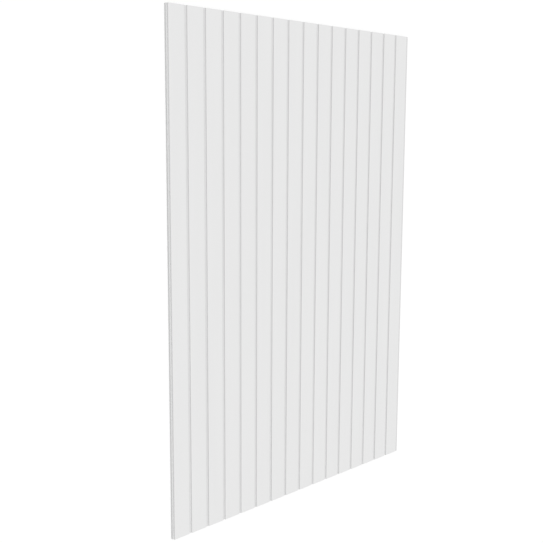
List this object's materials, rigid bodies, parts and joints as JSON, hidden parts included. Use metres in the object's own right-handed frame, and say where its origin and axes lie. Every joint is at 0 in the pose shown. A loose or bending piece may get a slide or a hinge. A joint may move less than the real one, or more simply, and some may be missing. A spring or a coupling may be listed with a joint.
{
  "type": "beadboard panel",
  "caption": "Flat rectangular wall panel with evenly spaced grooves cut along its length, a lip and a lapping tongue on its long edges, painted white.",
  "frame": {"origin": "middle of the sheet's outline, on its flat back face", "axes": "+X across the boards, from the edge with the lip to the edge with the tongue; +Y along the boards and grooves; +Z out of the grooved face"},
  "size_m": [0.8156, 1.2192, 0.01],
  "materials": {
    "primed_board": "satin white factory paint on fibreboard"
  },
  "bodies": {
    "root": {"beadboard_panel": "primed_board"}
  },
  "joints": []
}
